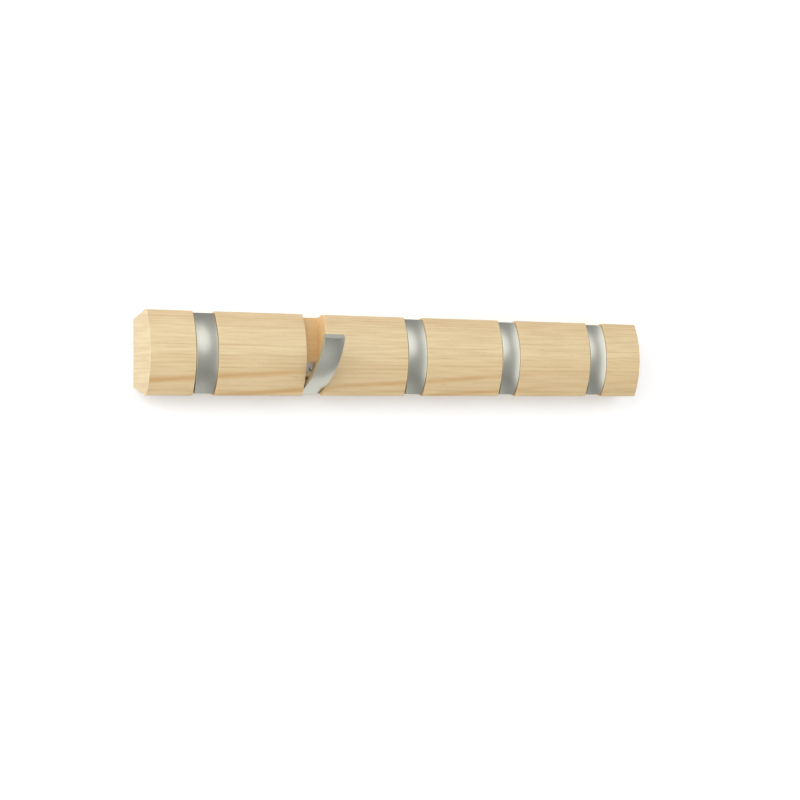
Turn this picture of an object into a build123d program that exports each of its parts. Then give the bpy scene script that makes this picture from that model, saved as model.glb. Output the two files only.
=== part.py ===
from build123d import *
import math
import os

# Wall coat rack: a wooden rail with five metal hooks that fold flush into grooves in its front.
# Lengths are in millimetres. The origin is the middle of the rail's back face, on the wall.
# X runs along the rail to the right, Y goes into the wall and Z is up.
# "Out" is a distance from the wall, so out = -Y. "Up" is a height from the rail's middle line.

# Rail
RAIL_LENGTH = 508.0
RAIL_HEIGHT = 68.2
RAIL_DEPTH = 32.0
FRONT_SAGITTA = 7.76
BEVEL_OUT = 20.9
BEVEL_RISE = 6.8
FRONT_EASE = 0.8
END_EASE = 0.5

# Grooves, one for each hook
HOOK_COUNT = 5
HOOK_PITCH = 101.6
OPEN_HOOK = 2
GROOVE_WIDTH = 20.0
GROOVE_FLOOR_OUT = 14.5
GROOVE_CORNER_RADIUS = 0.3
GROOVE_EASE = 0.5

# Holes for the wall screws, behind the first and the last hook
WALL_HOLE_RADIUS = 2.5
WALL_HOLE_UP = 10.5
COUNTERSINK_RADIUS = 4.8

# Hooks, as they lie when closed
HOOK_WIDTH = 19.2
HOOK_HEIGHT = 65.2
HOOK_THICKNESS = 4.5
HOOK_CREST_RADIUS = 70.0
HOOK_PROUD = 0.7
HOOK_CROWN = 0.9
HOOK_EDGE_RADIUS = 0.5
HOOK_TIP_RADIUS = 0.3
TAIL_TAPER = 1.4
TAIL_TAPER_HEIGHT = 13.0

# Hinge: the pin's axis, and how far a hook swings out
PIVOT_OUT = 19.8
PIVOT_UP = -22.5
SWING = 45.0
PIN_RADIUS = 1.5
PIN_LENGTH = 17.8
PIN_CHAMFER = 0.25
RUNNING_CLEARANCE = 0.05
FIXED_CLEARANCE = 0.02

# Knuckle on the back of a hook, which turns on the pin and stops on the bracket
KNUCKLE_WIDTH = 12.2
KNUCKLE_RADIUS = 4.7
STOP_GAP = 0.1
STOP_CORNER_UP = 1.5
CLOSED_STOP_UP = 7.0
RIB_TOP_UP = 16.0
SADDLE_RADIUS = 9.6

# Hinge bracket: a base let into the groove floor, with an ear on each side
SHEET_THICKNESS = 1.2
BASE_LOW_UP = -32.0
BASE_HIGH_UP = -5.5
BASE_SLACK = 0.15
EAR_OUTER_X = 8.1
EAR_RADIUS = 4.0
EAR_CLEARANCE = 0.5

# Friction washers, one between the knuckle and each ear
WASHER_THICKNESS = 0.6
WASHER_RADIUS = 3.6

# Bracket screws, two for each bracket
SCREW_X = 4.2
SCREW_UP = -10.5
SCREW_HEAD_RADIUS = 2.5
SCREW_HEAD_HEIGHT = 1.4
SCREW_HEAD_DOME = 0.5
SCREW_RADIUS = 1.3
SCREW_LENGTH = 10.0
SCREW_POINT = 2.5
CROSS_WIDTH = 0.7
CROSS_SPAN = 2.8
CROSS_DEPTH = 0.7

# Sizes that follow from those above
HALF_CHORD = RAIL_HEIGHT / 2
CHORD_OUT = RAIL_DEPTH - FRONT_SAGITTA
HOOK_CENTRE_OUT = RAIL_DEPTH + HOOK_PROUD - HOOK_CREST_RADIUS
EAR_INNER_X = EAR_OUTER_X - SHEET_THICKNESS
BASE_BACK_OUT = GROOVE_FLOOR_OUT - SHEET_THICKNESS
SCREW_TIP_OUT = BASE_BACK_OUT - SCREW_LENGTH
STOP_DISTANCE = PIVOT_OUT - GROOVE_FLOOR_OUT - STOP_GAP
HOOK_XS = [HOOK_PITCH * (i - (HOOK_COUNT - 1) / 2) for i in range(HOOK_COUNT)]
PIVOT_AXIS = Axis((0, -PIVOT_OUT, PIVOT_UP), (1, 0, 0))
CURVE_AXIS = Axis((0, -HOOK_CENTRE_OUT, 0), (1, 0, 0))

# Helpers for cutting and picking: a length past every piece, a small tolerance, and spare degrees of sweep
FAR = 200.0
PICKING = 0.01
SPARE_SWEEP = 2.0


def side_point(out, up):
    """A point of a side profile, which is drawn looking along X."""
    return (-out, up)


def hinge_point(out, up):
    """A point of a side profile, measured from the pin's axis."""
    return side_point(PIVOT_OUT + out, PIVOT_UP + up)


def side_plate(profile, low_x, high_x):
    """A solid with this side profile, from low_x to high_x along the rail."""
    return extrude(Plane.YZ.offset(low_x) * profile, amount=high_x - low_x)


def x_rod(radius, low_x, high_x):
    """A round bar along X on the pin's axis."""
    return side_plate(Pos(*hinge_point(0, 0)) * Circle(radius), low_x, high_x)


def block(low_x, high_x, low_out, high_out, low_up, high_up):
    """A box between two corners, given along the rail, out from the wall and up."""
    box = Box(high_x - low_x, high_out - low_out, high_up - low_up)
    return Pos((low_x + high_x) / 2, -(low_out + high_out) / 2, (low_up + high_up) / 2) * box


def out_rod(radius, x, up, low_out, high_out):
    """A round bar that stands straight out from the wall."""
    base = Plane(origin=(x, -low_out, up), x_dir=(1, 0, 0), z_dir=(0, -1, 0))
    return extrude(base * Circle(radius), amount=high_out - low_out)


def rail_section():
    """The rail's end profile: curved front, short flats, and bevels that narrow it towards the wall."""
    back_half = HALF_CHORD - BEVEL_RISE
    front = ThreePointArc(
        side_point(CHORD_OUT, HALF_CHORD),
        side_point(RAIL_DEPTH, 0),
        side_point(CHORD_OUT, -HALF_CHORD),
    )
    rest = Polyline(
        side_point(CHORD_OUT, -HALF_CHORD),
        side_point(BEVEL_OUT, -HALF_CHORD),
        side_point(0, -back_half),
        side_point(0, back_half),
        side_point(BEVEL_OUT, HALF_CHORD),
        side_point(CHORD_OUT, HALF_CHORD),
    )
    outline = make_face([front, *rest.edges()])
    front_corners = [v for v in outline.vertices() if abs(v.X + CHORD_OUT) < PICKING]
    return fillet(front_corners, FRONT_EASE)


def groove_cutter(x):
    """The space of one groove, with the cutter's small radius in its inner corners."""
    half = GROOVE_WIDTH / 2
    space = block(x - half, x + half, GROOVE_FLOOR_OUT, RAIL_DEPTH + FAR, -FAR, FAR)
    floor = space.faces().sort_by(Axis.Y)[-1]
    return fillet(floor.edges().filter_by(Axis.Z), GROOVE_CORNER_RADIUS)


def screw_places(x):
    """Where the two screws of the bracket at x stand along the rail."""
    return [x - SCREW_X, x + SCREW_X]


def bracket_housing(x):
    """The shallow housing, open at the rail's lower edge, that a bracket's base is let into."""
    half = EAR_OUTER_X + BASE_SLACK
    mouth_out = GROOVE_FLOOR_OUT + BASE_SLACK
    return block(x - half, x + half, BASE_BACK_OUT, mouth_out, -FAR, BASE_HIGH_UP + BASE_SLACK)


def wall_hole(x):
    """A screw hole through the groove floor to the wall, countersunk at 90 degrees."""
    depth = COUNTERSINK_RADIUS - WALL_HOLE_RADIUS
    mouth = Plane(origin=(x, -GROOVE_FLOOR_OUT, WALL_HOLE_UP), x_dir=(1, 0, 0), z_dir=(0, 1, 0))
    from_mouth = (Align.CENTER, Align.CENTER, Align.MIN)
    countersink = mouth * Cone(COUNTERSINK_RADIUS, WALL_HOLE_RADIUS, depth, align=from_mouth)
    return countersink + out_rod(WALL_HOLE_RADIUS, x, WALL_HOLE_UP, -FAR, GROOVE_FLOOR_OUT)


def make_rail():
    rail = side_plate(rail_section(), -RAIL_LENGTH / 2, RAIL_LENGTH / 2)
    ends = rail.faces().filter_by(Axis.X)
    rail = chamfer(ends.edges(), END_EASE)
    for x in HOOK_XS:
        rail -= groove_cutter(x)
    groove_walls = rail.faces().filter_by(Axis.X).sort_by(Axis.X)[1:-1]
    floor_line = -GROOVE_FLOOR_OUT - GROOVE_CORNER_RADIUS
    rims = [e for e in groove_walls.edges() if e.bounding_box().min.Y < floor_line - GROOVE_EASE]
    rail = fillet(rims, GROOVE_EASE)
    for x in HOOK_XS:
        rail -= bracket_housing(x)
        for screw_x in screw_places(x):
            pilot_radius = SCREW_RADIUS + FIXED_CLEARANCE
            rail -= out_rod(pilot_radius, screw_x, SCREW_UP, SCREW_TIP_OUT, GROOVE_FLOOR_OUT)
    for x in (HOOK_XS[0], HOOK_XS[-1]):
        rail -= wall_hole(x)
    return rail


def hook_strip():
    """The curved strip that fills the groove: a crowned section swept round, narrower at its tail."""
    half = HOOK_WIDTH / 2
    crest = HOOK_CREST_RADIUS
    shoulder = crest - HOOK_CROWN
    inside = crest - HOOK_THICKNESS
    crown = ThreePointArc((-half, shoulder), (0, crest), (half, shoulder))
    rest = Polyline((half, shoulder), (half, inside), (-half, inside), (-half, shoulder))
    section = make_face([crown, *rest.edges()])
    section = fillet(section.vertices(), HOOK_EDGE_RADIUS)
    front_plane = Plane(origin=CURVE_AXIS.position, x_dir=(1, 0, 0), z_dir=(0, 0, -1))
    half_height = HOOK_HEIGHT / 2
    reach = math.degrees(math.asin(half_height / inside)) + SPARE_SWEEP
    start = (front_plane * section).rotate(CURVE_AXIS, -reach)
    strip = revolve(start, axis=CURVE_AXIS, revolution_arc=2 * reach)
    strip &= block(-FAR, FAR, -FAR, FAR, -half_height, half_height)
    tip = strip.faces().sort_by(Axis.Z)[-1]
    strip = fillet(tip.edges(), HOOK_TIP_RADIUS)
    lean = math.degrees(math.atan2(TAIL_TAPER, TAIL_TAPER_HEIGHT))
    taper_up = TAIL_TAPER_HEIGHT - half_height
    tail_space = block(-FAR, FAR, -FAR, FAR, -FAR, taper_up)
    for side in (-1, 1):
        beside = Pos(side * (half + FAR / 2), 0, 0) * Box(FAR, FAR, FAR)
        taper_axis = Axis((side * half, 0, taper_up), (0, 1, 0))
        strip -= beside.rotate(taper_axis, side * lean) & tail_space
    return strip


def strip_out(depth, up):
    """How far out the strip lies at this height, at this depth below its crest."""
    radius = HOOK_CREST_RADIUS - depth
    return HOOK_CENTRE_OUT + math.sqrt(radius**2 - up**2)


def knuckle_profile():
    """Side profile of the knuckle and its rib, with a flat for each stop and a round back between them."""
    corner_radius = math.hypot(STOP_DISTANCE, STOP_CORNER_UP)
    closed_angle = 180 - math.degrees(math.atan2(STOP_CORNER_UP, STOP_DISTANCE))
    open_angle = 360 - closed_angle + SWING

    def polar(radius, angle):
        turn = math.radians(angle)
        return hinge_point(radius * math.cos(turn), radius * math.sin(turn))

    def in_strip(depth, up):
        return hinge_point(strip_out(depth, PIVOT_UP + up) - PIVOT_OUT, up)

    middle = HOOK_THICKNESS / 2
    rib_top = in_strip(HOOK_THICKNESS, RIB_TOP_UP)
    closed_stop_top = hinge_point(-STOP_DISTANCE, CLOSED_STOP_UP)
    tail_up = -HOOK_HEIGHT / 2 - PIVOT_UP
    back = ThreePointArc(
        polar(KNUCKLE_RADIUS, open_angle),
        polar(KNUCKLE_RADIUS, (closed_angle + open_angle) / 2),
        polar(KNUCKLE_RADIUS, closed_angle),
    )
    closed_stop = Polyline(
        polar(KNUCKLE_RADIUS, closed_angle),
        polar(corner_radius, closed_angle),
        closed_stop_top,
    )
    saddle = RadiusArc(closed_stop_top, rib_top, SADDLE_RADIUS)
    rest = Polyline(
        rib_top,
        in_strip(middle, RIB_TOP_UP),
        in_strip(middle, 0),
        in_strip(middle, tail_up),
        polar(corner_radius, open_angle),
        polar(KNUCKLE_RADIUS, open_angle),
    )
    return make_face([back, *closed_stop.edges(), saddle, *rest.edges()])


def make_hook():
    """One hook at the middle of the rail, closed."""
    half_knuckle = KNUCKLE_WIDTH / 2
    strip = hook_strip()
    for low_x, high_x in ((-HOOK_WIDTH, -half_knuckle), (half_knuckle, HOOK_WIDTH)):
        strip -= x_rod(EAR_RADIUS + EAR_CLEARANCE, low_x, high_x)
    hook = strip + side_plate(knuckle_profile(), -half_knuckle, half_knuckle)
    stop_out = PIVOT_OUT - STOP_DISTANCE
    behind_stop = block(-FAR, FAR, stop_out - FAR, stop_out, PIVOT_UP - FAR, PIVOT_UP)
    hook -= behind_stop.rotate(PIVOT_AXIS, -SWING)
    hook -= x_rod(PIN_RADIUS + RUNNING_CLEARANCE, -HOOK_WIDTH, HOOK_WIDTH)
    return hook


def make_bracket():
    base = block(-EAR_OUTER_X, EAR_OUTER_X, BASE_BACK_OUT, GROOVE_FLOOR_OUT, BASE_LOW_UP, BASE_HIGH_UP)
    ear_reach = PIVOT_OUT - BASE_BACK_OUT
    stem = Pos(*hinge_point(-ear_reach / 2, 0)) * Rectangle(ear_reach, 2 * EAR_RADIUS)
    ear_profile = stem + Pos(*hinge_point(0, 0)) * Circle(EAR_RADIUS)
    bracket = base + side_plate(ear_profile, EAR_INNER_X, EAR_OUTER_X)
    bracket += side_plate(ear_profile, -EAR_OUTER_X, -EAR_INNER_X)
    bracket -= x_rod(PIN_RADIUS + FIXED_CLEARANCE, -HOOK_WIDTH, HOOK_WIDTH)
    for screw_x in screw_places(0):
        bracket -= out_rod(SCREW_RADIUS + FIXED_CLEARANCE, screw_x, SCREW_UP, 0, RAIL_DEPTH)
    return bracket


def make_pin():
    pin = x_rod(PIN_RADIUS, -PIN_LENGTH / 2, PIN_LENGTH / 2)
    return chamfer(pin.edges().filter_by(GeomType.CIRCLE), PIN_CHAMFER)


def make_washers():
    gap_middle = (KNUCKLE_WIDTH / 2 + EAR_INNER_X) / 2
    half = WASHER_THICKNESS / 2
    washers = []
    for middle in (-gap_middle, gap_middle):
        disc = x_rod(WASHER_RADIUS, middle - half, middle + half)
        washers.append(disc - x_rod(PIN_RADIUS + RUNNING_CLEARANCE, -HOOK_WIDTH, HOOK_WIDTH))
    return washers


def make_screw(x):
    """A low round-head wood screw with a cross recess, its thread left plain."""
    head_out = GROOVE_FLOOR_OUT + SCREW_HEAD_HEIGHT
    screw = out_rod(SCREW_HEAD_RADIUS, x, SCREW_UP, GROOVE_FLOOR_OUT, head_out)
    rim = screw.faces().sort_by(Axis.Y)[0].edges()
    screw = fillet(rim, SCREW_HEAD_DOME)
    screw += out_rod(SCREW_RADIUS, x, SCREW_UP, SCREW_TIP_OUT, head_out - CROSS_DEPTH)
    tip = screw.faces().sort_by(Axis.Y)[-1].edges()
    screw = chamfer(tip, SCREW_POINT, SCREW_RADIUS - FIXED_CLEARANCE)
    half_span = CROSS_SPAN / 2
    half_width = CROSS_WIDTH / 2
    floor_out = head_out - CROSS_DEPTH
    for half_x, half_up in ((half_span, half_width), (half_width, half_span)):
        low_up = SCREW_UP - half_up
        high_up = SCREW_UP + half_up
        screw -= block(x - half_x, x + half_x, floor_out, RAIL_DEPTH, low_up, high_up)
    return screw


def write(node, solids):
    """Writes one node, made of one solid or a group of like ones."""
    shape = solids[0] if len(solids) == 1 else Compound(children=solids)
    export_step(shape, os.path.join("parts", node + ".step"))


os.makedirs("parts", exist_ok=True)
write("rail", [make_rail()])

closed_hook = make_hook()
for number, x in enumerate(HOOK_XS, start=1):
    hook = closed_hook.rotate(PIVOT_AXIS, SWING) if number == OPEN_HOOK else closed_hook
    write(f"hook_{number}", [Pos(x, 0, 0) * hook])
    write(f"hinge_bracket_{number}", [Pos(x, 0, 0) * make_bracket()])
    write(f"hinge_pin_{number}", [Pos(x, 0, 0) * make_pin()])
    write(f"friction_washers_{number}", [Pos(x, 0, 0) * washer for washer in make_washers()])
    write(f"bracket_screws_{number}", [make_screw(screw_x) for screw_x in screw_places(x)])
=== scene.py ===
import math

import bmesh
import bpy
from mathutils import Matrix, Vector

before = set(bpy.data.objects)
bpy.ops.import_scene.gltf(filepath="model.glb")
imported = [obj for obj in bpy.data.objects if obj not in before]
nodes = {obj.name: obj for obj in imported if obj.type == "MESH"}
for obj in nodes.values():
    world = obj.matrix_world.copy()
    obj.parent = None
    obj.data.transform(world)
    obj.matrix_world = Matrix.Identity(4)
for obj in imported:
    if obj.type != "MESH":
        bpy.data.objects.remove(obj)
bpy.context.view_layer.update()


# Rail: one length of pale, straight-grained wood, planed to a curved front with bevelled back edges.
# Five grooves are cut across the front, and their rims are eased; the finish is a thin satin varnish.
# Broken growth lines run along it, a few tan ones slant over its lower front, and its ends are banded.
# Its colour carries painted shade: darker along its top and lower edges, towards its right end and in
# its grooves.

HALF_RAIL = 0.034
HALF_LENGTH = 0.254

# Growth rings about the pith, which lies behind the rail and level with its top edge.
# Waves, breaks and grains say how often a pattern changes per metre along X, Y and Z.
# Levels are stops that turn a noise or a place in a ring into a share.
PITH = (0.067, 0.035)
RING_SPACING = 0.0010
RING_WANDER = 0.0005
RING_WAVES = (6, 60, 60)
RING_LEVELS = [(0.0, 0.0), (0.40, 0.10), (0.76, 0.9), (0.90, 0.8), (1.0, 0.0)]
RING_BREAKS = (26, 190, 190)
RING_BREAK_LEVELS = [(0.34, 0.05), (0.66, 1.0)]

# Colours of the wood: the pale early wood with painted shade from the lower edge to the upper, and what
# is drawn over it
# The early wood's ramp is painted shade: darker towards the lower edge, darker and pinker along the top
# edge, and brightest above the middle, where light falls most.
EARLY_WOOD_AND_SHADE = [
    (0.00, (0.830, 0.640, 0.375)),
    (0.22, (0.820, 0.638, 0.378)),
    (0.42, (0.842, 0.667, 0.396)),
    (0.56, (0.885, 0.728, 0.450)),
    (0.82, (0.845, 0.680, 0.416)),
    (0.98, (0.820, 0.632, 0.392)),
]
# Painted shade: towards the right end the early wood is mixed with this darker, warmer colour, as less
# of the left light reaches it.
RIGHT_SHADE_WOOD = (0.840, 0.580, 0.220, 1)
RIGHT_SHADE_SHARE = 0.16
LATE_WOOD = (0.660, 0.460, 0.220, 1)
STREAK_WOOD = (0.680, 0.480, 0.250, 1)
STREAK_GRAIN = (24, 430, 430)
STREAK_LEVELS = [(0.40, 0.0), (0.68, 0.45)]
FIBRE_GRAIN = (55, 1700, 1700)
FIBRE_LEVELS = [(0.3, 0.20), (0.62, 0.0)]
PORE_BROWN = (0.500, 0.330, 0.160, 1)
PORE_GRAIN = (120, 1500, 1500)
PORE_LEVELS = [(0.66, 0.0), (0.76, 0.30)]

# Surface of the varnished wood: rough between the fibres and smoother on them
WOOD_ROUGH = 0.58
WOOD_SMOOTH = 0.46
WOOD_SPECULAR = 0.30
FIBRE_BUMP = 0.08
FIBRE_DEPTH = 0.0003

# Grooves, whose walls and floors are painted darker and warmer as shade and warm bounce light inside
# them, and the two ends
GROOVE_SHADE_WOOD = (0.840, 0.560, 0.260, 1)
GROOVE_SHADE_SHARE = 0.5
GROOVE_PITCH = 0.1016
GROOVE_HALF = 0.01005
GROOVE_FLOOR = -0.0143
END_PLANE = 0.2533
END_SHARE = 0.8
END_GRAIN = (0, 18, 380)
END_BANDS = [(0.34, (0.735, 0.575, 0.352)), (0.62, (0.846, 0.702, 0.462))]

# Tan growth lines, each with its height at the middle of the rail, its half width and its strength.
# They start below one height, are full below the next, and fade towards the right.
GROWTH_TAN = (0.660, 0.400, 0.165, 1)
GROWTH_SLOPE = 0.060
GROWTH_WANDER = 0.004
GROWTH_WAVES = (7, 40, 40)
GROWTH_BREAKS = (14, 90, 90)
GROWTH_BREAK_LEVELS = [(0.30, 0.30), (0.52, 1.0)]
GROWTH_START = -0.009
GROWTH_FULL = -0.017
FADE_FROM = 0.040
FADE_TO = 0.160
FADE_LEFT = 0.4
GROWTH_LINES = [
    (-0.0050, 0.0040, 0.95),
    (-0.0200, 0.0032, 0.85),
    (-0.0330, 0.0028, 0.80),
    (-0.0400, 0.0016, 0.60),
]


def start_material(name):
    """A node material with its one shader, and the object coordinates that its patterns read."""
    material = bpy.data.materials.new(name)
    material.use_nodes = True
    tree = material.node_tree
    shader = tree.nodes["Principled BSDF"]
    place = tree.nodes.new("ShaderNodeTexCoord").outputs["Object"]
    return material, tree, shader, place


def feed(tree, kind, inputs, **settings):
    """Adds one node. An input takes a plain value, or a link where it is given another node's output."""
    made = tree.nodes.new(kind)
    for key, value in settings.items():
        setattr(made, key, value)
    for key, value in inputs.items():
        if isinstance(value, bpy.types.NodeSocket):
            tree.links.new(value, made.inputs[key])
        else:
            made.inputs[key].default_value = value
    return made


def sums(tree, operation, first, second=0):
    """One arithmetic step on one or two values or outputs."""
    return feed(tree, "ShaderNodeMath", {0: first, 1: second}, operation=operation).outputs[0]


def streaks(tree, place, scale, detail):
    """Noise drawn out along the directions where its scale is small."""
    drawn = feed(tree, "ShaderNodeMapping", {"Vector": place, "Scale": scale}).outputs["Vector"]
    noise = feed(tree, "ShaderNodeTexNoise", {"Vector": drawn, "Scale": 1.0, "Detail": detail})
    return noise.outputs["Fac"]


def ramp(tree, value, stops):
    """A ramp through these (place, level) stops. A level is a grey or a colour."""
    made = feed(tree, "ShaderNodeValToRGB", {"Fac": value})
    elements = made.color_ramp.elements
    while len(elements) < len(stops):
        elements.new(0.5)
    for element, (place, level) in zip(elements, stops):
        element.position = place
        element.color = (*level, 1) if isinstance(level, tuple) else (level, level, level, 1)
    return made.outputs["Color"]


def mixed(tree, amount, first, second):
    """Two colours mixed by an amount, in a Mix node's colour sockets: inputs 6 and 7 and output 2."""
    made = feed(tree, "ShaderNodeMix", {}, data_type="RGBA")
    for socket, value in ((made.inputs[0], amount), (made.inputs[6], first), (made.inputs[7], second)):
        if isinstance(value, bpy.types.NodeSocket):
            tree.links.new(value, socket)
        else:
            socket.default_value = value
    return made.outputs[2]


def between(tree, amount, low, high):
    """An amount from 0 to 1, carried over to the span from low to high."""
    span = feed(tree, "ShaderNodeMapRange", {"Value": amount, "To Min": low, "To Max": high})
    return span.outputs["Result"]


def bumped(tree, shader, height, strength, distance):
    """Gives a shader a fine relief."""
    bump = feed(tree, "ShaderNodeBump", {"Height": height, "Strength": strength, "Distance": distance})
    tree.links.new(bump.outputs["Normal"], shader.inputs["Normal"])


def growth_lines(tree, place, axes):
    """How strongly a tan line shows here, on the lower front."""
    wander = sums(tree, "MULTIPLY", streaks(tree, place, GROWTH_WAVES, detail=2.0), GROWTH_WANDER)
    level = sums(tree, "ADD", axes["Z"], wander)
    slanted = sums(tree, "SUBTRACT", level, sums(tree, "MULTIPLY", axes["X"], GROWTH_SLOPE))
    strongest = 0.0
    for height, half_width, strength in GROWTH_LINES:
        away = sums(tree, "ABSOLUTE", sums(tree, "SUBTRACT", slanted, height))
        line = feed(tree, "ShaderNodeMapRange", {
            "Value": away,
            "From Max": half_width,
            "To Min": strength,
            "To Max": 0.0,
        }, interpolation_type="SMOOTHSTEP").outputs["Result"]
        strongest = sums(tree, "MAXIMUM", strongest, line)
    lower = feed(tree, "ShaderNodeMapRange", {
        "Value": axes["Z"],
        "From Min": GROWTH_START,
        "From Max": GROWTH_FULL,
    }).outputs["Result"]
    broken = ramp(tree, streaks(tree, place, GROWTH_BREAKS, detail=2.0), GROWTH_BREAK_LEVELS)
    fading = feed(tree, "ShaderNodeMapRange", {
        "Value": axes["X"],
        "From Min": FADE_FROM,
        "From Max": FADE_TO,
        "To Min": 1.0,
        "To Max": FADE_LEFT,
    }).outputs["Result"]
    shown = sums(tree, "MULTIPLY", lower, sums(tree, "MULTIPLY", broken, fading))
    return sums(tree, "MULTIPLY", strongest, shown)


def groove_shade_share(tree, axes):
    """How much painted shade, darker and warmer, shows here on the walls and floor of a groove."""
    pitches = sums(tree, "ADD", sums(tree, "DIVIDE", axes["X"], GROOVE_PITCH), 0.5)
    from_middle = sums(tree, "ABSOLUTE", sums(tree, "SUBTRACT", sums(tree, "FRACT", pitches), 0.5))
    in_width = sums(tree, "LESS_THAN", from_middle, GROOVE_HALF / GROOVE_PITCH)
    in_depth = sums(tree, "LESS_THAN", axes["Y"], GROOVE_FLOOR)
    return sums(tree, "MULTIPLY", sums(tree, "MULTIPLY", in_width, in_depth), GROOVE_SHADE_SHARE)


def end_share(tree, axes):
    """How much of the smooth, level-banded end grain shows here."""
    from_middle = sums(tree, "ABSOLUTE", axes["X"])
    at_end = sums(tree, "GREATER_THAN", from_middle, END_PLANE)
    return sums(tree, "MULTIPLY", at_end, END_SHARE)


def wood_material():
    material, tree, shader, place = start_material("pale_wood")
    axes = feed(tree, "ShaderNodeSeparateXYZ", {"Vector": place}).outputs
    across = feed(tree, "ShaderNodeMapping", {
        "Vector": place,
        "Location": (0, -PITH[0], -PITH[1]),
        "Scale": (0, 1, 1),
    }).outputs["Vector"]
    radius = feed(tree, "ShaderNodeVectorMath", {0: across}, operation="LENGTH").outputs["Value"]
    wander = sums(tree, "MULTIPLY", streaks(tree, place, RING_WAVES, detail=3.0), RING_WANDER)
    phase = sums(tree, "DIVIDE", sums(tree, "ADD", radius, wander), RING_SPACING)
    number = sums(tree, "FLOOR", phase)
    chance = feed(tree, "ShaderNodeTexWhiteNoise", {"W": number}, noise_dimensions="1D").outputs["Value"]
    late = ramp(tree, sums(tree, "FRACT", phase), RING_LEVELS)
    fading = ramp(tree, streaks(tree, place, RING_BREAKS, detail=2.0), RING_BREAK_LEVELS)
    uneven = sums(tree, "MULTIPLY", late, sums(tree, "MULTIPLY", chance, fading))
    height = feed(tree, "ShaderNodeMapRange", {
        "Value": axes["Z"],
        "From Min": -HALF_RAIL,
        "From Max": HALF_RAIL,
    }).outputs["Result"]
    # Painted shade: a share of the darker, warmer colour that grows towards the right end.
    right_shade = feed(tree, "ShaderNodeMapRange", {
        "Value": axes["X"],
        "From Min": -HALF_LENGTH,
        "From Max": HALF_LENGTH,
        "To Max": RIGHT_SHADE_SHARE,
    }).outputs["Result"]
    # The early wood, with its painted shade by height and towards the right end.
    shaded_early = mixed(tree, right_shade, ramp(tree, height, EARLY_WOOD_AND_SHADE), RIGHT_SHADE_WOOD)
    grain = mixed(tree, uneven, shaded_early, LATE_WOOD)
    streak = ramp(tree, streaks(tree, place, STREAK_GRAIN, detail=3.0), STREAK_LEVELS)
    streaked = mixed(tree, streak, grain, STREAK_WOOD)
    lined = mixed(tree, growth_lines(tree, place, axes), streaked, GROWTH_TAN)
    fibre = streaks(tree, place, FIBRE_GRAIN, detail=3.0)
    fibrous = mixed(tree, ramp(tree, fibre, FIBRE_LEVELS), lined, LATE_WOOD)
    bands = ramp(tree, streaks(tree, place, END_GRAIN, detail=2.0), END_BANDS)
    ended = mixed(tree, end_share(tree, axes), fibrous, bands)
    # Painted shade: the walls and floors of the grooves are darker and warmer.
    groove_shaded = mixed(tree, groove_shade_share(tree, axes), ended, GROOVE_SHADE_WOOD)
    pores = ramp(tree, streaks(tree, place, PORE_GRAIN, detail=1.0), PORE_LEVELS)
    tree.links.new(mixed(tree, pores, groove_shaded, PORE_BROWN), shader.inputs["Base Color"])
    tree.links.new(between(tree, fibre, WOOD_ROUGH, WOOD_SMOOTH), shader.inputs["Roughness"])
    shader.inputs["Specular IOR Level"].default_value = WOOD_SPECULAR
    relief = sums(tree, "SUBTRACT", fibre, pores)
    bumped(tree, shader, relief, FIBRE_BUMP, FIBRE_DEPTH)
    return material


nodes["rail"].data.materials[0] = wood_material()


# Hinge brackets: a base and two ears pressed from 1.2 mm steel sheet, zinc plated to a pale grey.
# Each lies in a shallow housing in the groove floor, flush with it, and its ears carry the hinge pin.

ZINC_GREY = (0.560, 0.570, 0.580, 1)
ZINC_SHADE = (0.430, 0.440, 0.450, 1)
ZINC_CLOUDS = (420, 420, 420)
ZINC_SMOOTH = 0.26
ZINC_ROUGH = 0.46
HOOK_COUNT = 5


def zinc_material():
    material, tree, shader, place = start_material("zinc_plate")
    cloud = streaks(tree, place, ZINC_CLOUDS, detail=4.0)
    tree.links.new(mixed(tree, cloud, ZINC_GREY, ZINC_SHADE), shader.inputs["Base Color"])
    tree.links.new(between(tree, cloud, ZINC_SMOOTH, ZINC_ROUGH), shader.inputs["Roughness"])
    shader.inputs["Metallic"].default_value = 1.0
    return material


zinc = zinc_material()
hook_numbers = range(1, HOOK_COUNT + 1)
for number in hook_numbers:
    nodes[f"hinge_bracket_{number}"].data.materials[0] = zinc


# Bracket screws: two short steel wood screws with low round heads hold each bracket to the groove floor.
# They are zinc plated like the brackets, and a closed hook covers their heads.

for number in hook_numbers:
    nodes[f"bracket_screws_{number}"].data.materials[0] = zinc


# Friction washers: a thin ring of natural nylon on each side of a hook's knuckle.
# The ears squeeze them, so that a hook stays where it is put.

NYLON = (0.760, 0.740, 0.680, 1)
NYLON_SHADE = (0.640, 0.620, 0.560, 1)
NYLON_CLOUDS = (260, 260, 260)
NYLON_ROUGHNESS = 0.5


def nylon_material():
    material, tree, shader, place = start_material("natural_nylon")
    cloud = streaks(tree, place, NYLON_CLOUDS, detail=2.0)
    tree.links.new(mixed(tree, cloud, NYLON, NYLON_SHADE), shader.inputs["Base Color"])
    shader.inputs["Roughness"].default_value = NYLON_ROUGHNESS
    return material


nylon = nylon_material()
for number in hook_numbers:
    nodes[f"friction_washers_{number}"].data.materials[0] = nylon


# Hooks: each is one zinc casting, a curved and slightly crowned strip with its hinge knuckle behind.
# They are brushed lengthways and plated with satin nickel, which is a warm, soft grey.

NICKEL = (0.560, 0.562, 0.495, 1)
NICKEL_SHADE = (0.515, 0.517, 0.452, 1)
NICKEL_SMOOTH = 0.26
NICKEL_ROUGH = 0.36
BRUSH_GRAIN = (5200, 130, 130)
BRUSH_BUMP = 0.04
BRUSH_DEPTH = 0.0001


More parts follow.
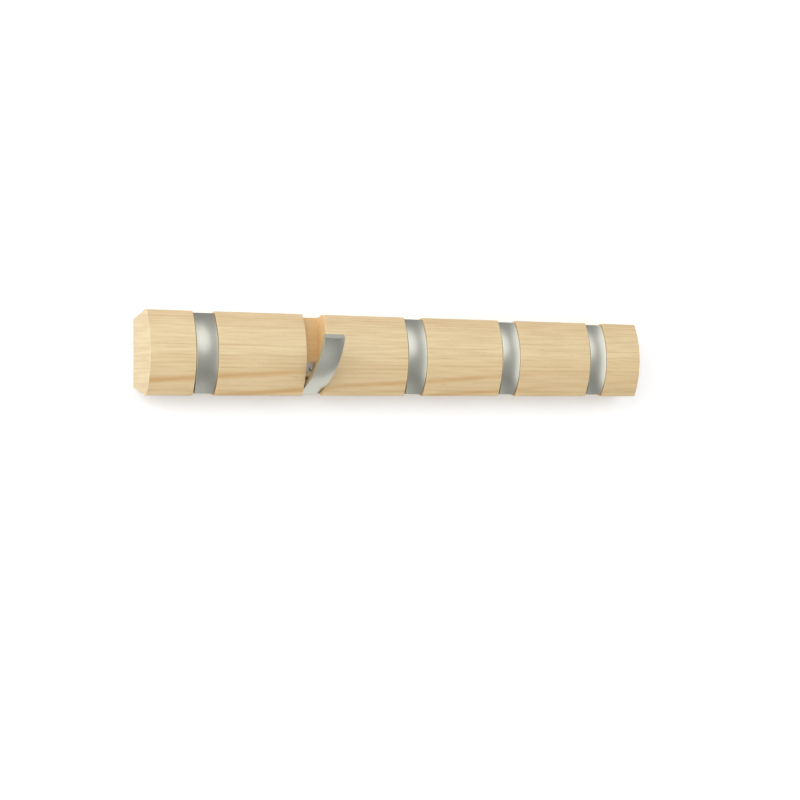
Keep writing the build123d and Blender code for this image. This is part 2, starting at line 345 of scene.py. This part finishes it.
def nickel_material():
    material, tree, shader, place = start_material("satin_nickel")
    brushing = streaks(tree, place, BRUSH_GRAIN, detail=3.0)
    tree.links.new(mixed(tree, brushing, NICKEL, NICKEL_SHADE), shader.inputs["Base Color"])
    tree.links.new(between(tree, brushing, NICKEL_SMOOTH, NICKEL_ROUGH), shader.inputs["Roughness"])
    shader.inputs["Metallic"].default_value = 1.0
    bumped(tree, shader, brushing, BRUSH_BUMP, BRUSH_DEPTH)
    return material


nickel = nickel_material()
for number in hook_numbers:
    nodes[f"hook_{number}"].data.materials[0] = nickel


# Hinge pins: plain drawn-steel pins, fixed in the ears and free in the knuckle.
# Only their ends could be seen, beside the ears.

for number in hook_numbers:
    nodes[f"hinge_pin_{number}"].data.materials[0] = zinc


# Wall and floor of the studio: a white wall that the rail hangs on, and a grey floor far below.
# The wall shows only from the front, where it takes the rail's soft shadow, and is clear from behind.
# The floor has a painted pool of light, a paler round patch below the rail, which the lower ends of the
# hooks reflect.

WALL_GAP = 0.0006
WALL_SIZE = 9.0
WALL_SHADE = 0.96
WALL_GLOW = 0.22
FLOOR_DROP = 1.55
FLOOR_SIZE = 7.0
FLOOR_PALE = 0.95
FLOOR_DUSKY = 0.36
POOL_CENTRE = (0.35, -1.35)
POOL_INSIDE = 0.30
POOL_OUTSIDE = 1.50
POOL_SQUASH = 0.9


def stage_plane(name, size, turn, place, material):
    """A flat square, turned and moved in its mesh, which isn't part of the object."""
    mesh = bpy.data.meshes.new(name)
    shape = bmesh.new()
    bmesh.ops.create_grid(shape, x_segments=1, y_segments=1, size=size / 2)
    bmesh.ops.rotate(shape, matrix=turn, verts=shape.verts)
    bmesh.ops.translate(shape, vec=place, verts=shape.verts)
    shape.to_mesh(mesh)
    shape.free()
    mesh.materials.append(material)
    plane = bpy.data.objects.new(name, mesh)
    bpy.context.scene.collection.objects.link(plane)
    return plane


def one_sided(name, front_shader):
    """A stage material that is clear when seen from behind. front_shader adds what the front shows."""
    material = bpy.data.materials.new(name)
    material.use_nodes = True
    tree = material.node_tree
    tree.nodes.remove(tree.nodes["Principled BSDF"])
    behind = feed(tree, "ShaderNodeNewGeometry", {}).outputs["Backfacing"]
    clear = feed(tree, "ShaderNodeBsdfTransparent", {}).outputs["BSDF"]
    sides = feed(tree, "ShaderNodeMixShader", {0: behind, 1: front_shader(tree), 2: clear})
    tree.links.new(sides.outputs["Shader"], tree.nodes["Material Output"].inputs["Surface"])
    return material


def wall_front(tree):
    white = (WALL_SHADE, WALL_SHADE, WALL_SHADE, 1)
    lit = feed(tree, "ShaderNodeBsdfDiffuse", {"Color": white}).outputs["BSDF"]
    glow = feed(tree, "ShaderNodeEmission", {"Strength": WALL_GLOW}).outputs["Emission"]
    return feed(tree, "ShaderNodeAddShader", {0: lit, 1: glow}).outputs["Shader"]


def floor_front(tree):
    place = tree.nodes.new("ShaderNodeTexCoord").outputs["Object"]
    # Painted pool of light: pale inside the round patch, dusky outside it.
    from_pool = feed(tree, "ShaderNodeMapping", {
        "Vector": place,
        "Location": (-POOL_CENTRE[0], -POOL_CENTRE[1] * POOL_SQUASH, 0),
        "Scale": (1, POOL_SQUASH, 0),
    }).outputs["Vector"]
    away = feed(tree, "ShaderNodeVectorMath", {0: from_pool}, operation="LENGTH").outputs["Value"]
    grey = feed(tree, "ShaderNodeMapRange", {
        "Value": away,
        "From Min": POOL_INSIDE,
        "From Max": POOL_OUTSIDE,
        "To Min": FLOOR_PALE,
        "To Max": FLOOR_DUSKY,
    }).outputs["Result"]
    return feed(tree, "ShaderNodeBsdfDiffuse", {"Color": grey}).outputs["BSDF"]


upright = Matrix.Rotation(math.radians(90), 3, "X")
wall_white = one_sided("wall_white", wall_front)
wall = stage_plane("studio_wall", WALL_SIZE, upright, Vector((0, WALL_GAP, 0)), wall_white)
wall.visible_diffuse = False
wall.visible_shadow = False
flat = Matrix.Identity(3)
floor_grey = one_sided("floor_grey", floor_front)
stage_plane("studio_floor", FLOOR_SIZE, flat, Vector((0, 0, -FLOOR_DROP)), floor_grey)


# Light: a grey room, a key and a smaller box on the left, and two boxes on the right.
# The two left lamps light the wood and a dimmer card takes their place in the metal.
# Radiance is what a lamp looks like in a mirror, where 1 is as bright as white paper.

ROOM_GREYS = [(0.15, 0.45), (0.36, 0.44), (0.50, 0.48), (0.80, 0.47), (0.92, 0.28)]


def soft_box(name, shape, turn, lift, distance, width, height, radiance, on_wood, in_metal):
    """A lamp that faces the rail, turned to the right of the front and lifted by these degrees."""
    across = math.radians(turn)
    above = math.radians(lift)
    level = math.cos(above)
    towards = Vector((math.sin(across) * level, -math.cos(across) * level, math.sin(above)))
    lamp = bpy.data.lights.new(name, "AREA")
    lamp.shape = shape
    lamp.size = width
    lamp.size_y = height
    fullness = math.pi / 4 if shape == "ELLIPSE" else 1.0
    lamp.energy = radiance * math.pi * fullness * width * height
    lamp_object = bpy.data.objects.new(name, lamp)
    lamp_object.location = towards * distance
    lamp_object.rotation_euler = towards.to_track_quat("Z", "Y").to_euler()
    lamp_object.visible_diffuse = on_wood
    lamp_object.visible_glossy = in_metal
    bpy.context.scene.collection.objects.link(lamp_object)


soft_box(
    "key_left", "ELLIPSE", turn=-50, lift=15, distance=2.8,
    width=2.4, height=2.2, radiance=3.1, on_wood=True, in_metal=False,
)
soft_box(
    "box_left", "ELLIPSE", turn=-84, lift=6, distance=2.2,
    width=1.8, height=2.0, radiance=1.75, on_wood=True, in_metal=False,
)
soft_box(
    "card_left", "RECTANGLE", turn=-50, lift=14, distance=2.8,
    width=4.2, height=2.8, radiance=1.3, on_wood=False, in_metal=True,
)
soft_box(
    "box_front_right", "ELLIPSE", turn=15.4, lift=20, distance=8.0,
    width=4.4, height=5.1, radiance=1.35, on_wood=True, in_metal=True,
)
soft_box(
    "box_right", "RECTANGLE", turn=90, lift=4, distance=2.8,
    width=5.0, height=3.2, radiance=1.15, on_wood=True, in_metal=True,
)

world = bpy.data.worlds.new("studio_room")
bpy.context.scene.world = world
world.use_nodes = True
room = world.node_tree
direction = room.nodes.new("ShaderNodeTexCoord").outputs["Generated"]
up = feed(room, "ShaderNodeSeparateXYZ", {"Vector": direction}).outputs["Z"]
rise = sums(room, "ADD", sums(room, "MULTIPLY", up, 0.5), 0.5)
room_grey = ramp(room, rise, ROOM_GREYS)
room.links.new(room_grey, room.nodes["Background"].inputs["Color"])


# Camera: level, to the left of the rail and a little below its middle, about 1.5 m away.
# Its place, turn and lens were fitted to the rail's and the grooves' edges in the photograph.

CAMERA_PLACE = (-0.81326, -1.24503, -0.03773)
CAMERA_YAW = -33.21
LENS = 75.62
SENSOR = 36.0

camera = bpy.data.cameras.new("photo_camera")
camera.lens = LENS
camera.sensor_width = SENSOR
camera_object = bpy.data.objects.new("photo_camera", camera)
camera_object.location = CAMERA_PLACE
camera_object.rotation_euler = (math.radians(90), 0, math.radians(CAMERA_YAW))
bpy.context.scene.collection.objects.link(camera_object)
bpy.context.scene.camera = camera_object
bpy.context.scene.view_settings.view_transform = "Standard"
